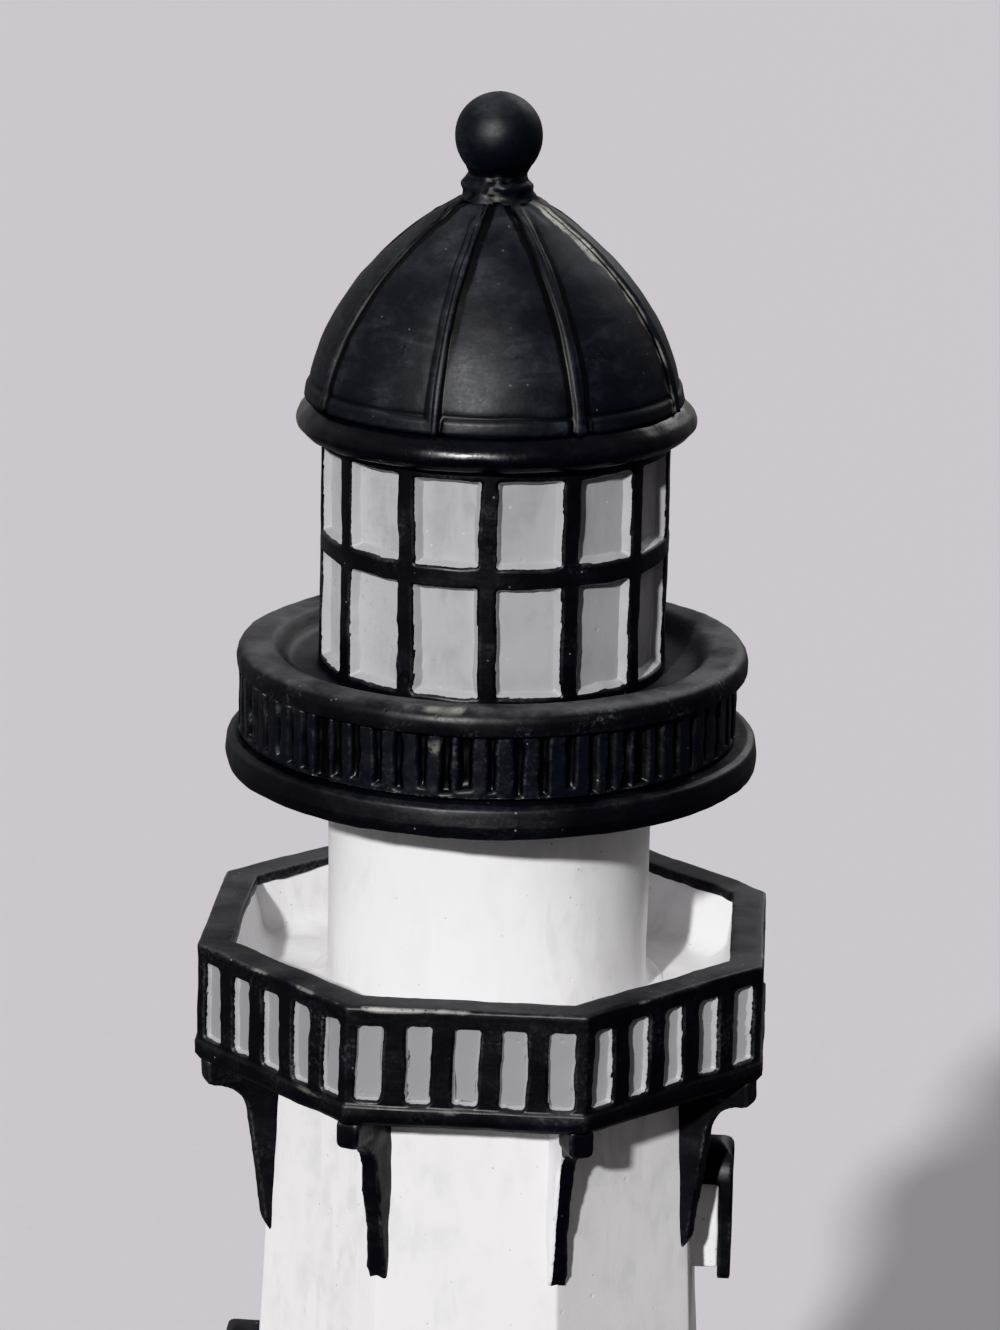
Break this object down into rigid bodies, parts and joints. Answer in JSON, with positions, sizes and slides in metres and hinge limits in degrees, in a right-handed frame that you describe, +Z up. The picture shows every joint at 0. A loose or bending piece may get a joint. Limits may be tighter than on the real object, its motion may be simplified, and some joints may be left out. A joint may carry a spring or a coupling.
{
  "type": "lighthouse figurine",
  "caption": "Octagonal lighthouse figurine in painted cast resin with bracketed parapet walk, round gallery, glazed lantern, ribbed dome and ball finial.",
  "frame": {"origin": "centre of the base pad's underside, at ground level", "axes": "+Z up the tower axis to the finial, -Y out of the door side (front), +X to the right seen from the front"},
  "size_m": [0.122, 0.122, 0.3831],
  "materials": {
    "black_paint": "satin",
    "white_paint": "satin",
    "grey_paint": "satin",
    "zinc_steel": "satin",
    "pad_rubber": "matte"
  },
  "bodies": {
    "root": {"base_pad": "pad_rubber", "base_plate": "black_paint", "base_screws": "zinc_steel", "plinth_slab": "black_paint", "plinth_step": "white_paint", "tower_skirt": "black_paint", "tower_shaft": "white_paint", "door_step": "black_paint", "door_surround": "white_paint", "door_hood": "black_paint", "door_leaf": "grey_paint", "window_front_surround": "white_paint", "window_front_hood": "black_paint", "window_front_pane": "grey_paint", "window_left_surround": "white_paint", "window_left_hood": "black_paint", "window_left_pane": "grey_paint", "window_right_surround": "white_paint", "window_right_hood": "black_paint", "window_right_pane": "grey_paint", "bracket_front_left": "black_paint", "bracket_front_right": "black_paint", "bracket_right_front": "black_paint", "bracket_right_rear": "black_paint", "bracket_rear_right": "black_paint", "bracket_rear_left": "black_paint", "bracket_left_rear": "black_paint", "bracket_left_front": "black_paint", "parapet_tray": "white_paint", "parapet_frame": "black_paint", "watch_room": "white_paint", "gallery_ledge": "black_paint", "gallery_balustrade": "black_paint", "gallery_deck": "black_paint", "lantern_core": "grey_paint", "lantern_frame": "black_paint", "eave_ring": "black_paint", "roof_dome": "black_paint", "finial_dowel": "zinc_steel", "finial": "black_paint"}
  },
  "joints": []
}
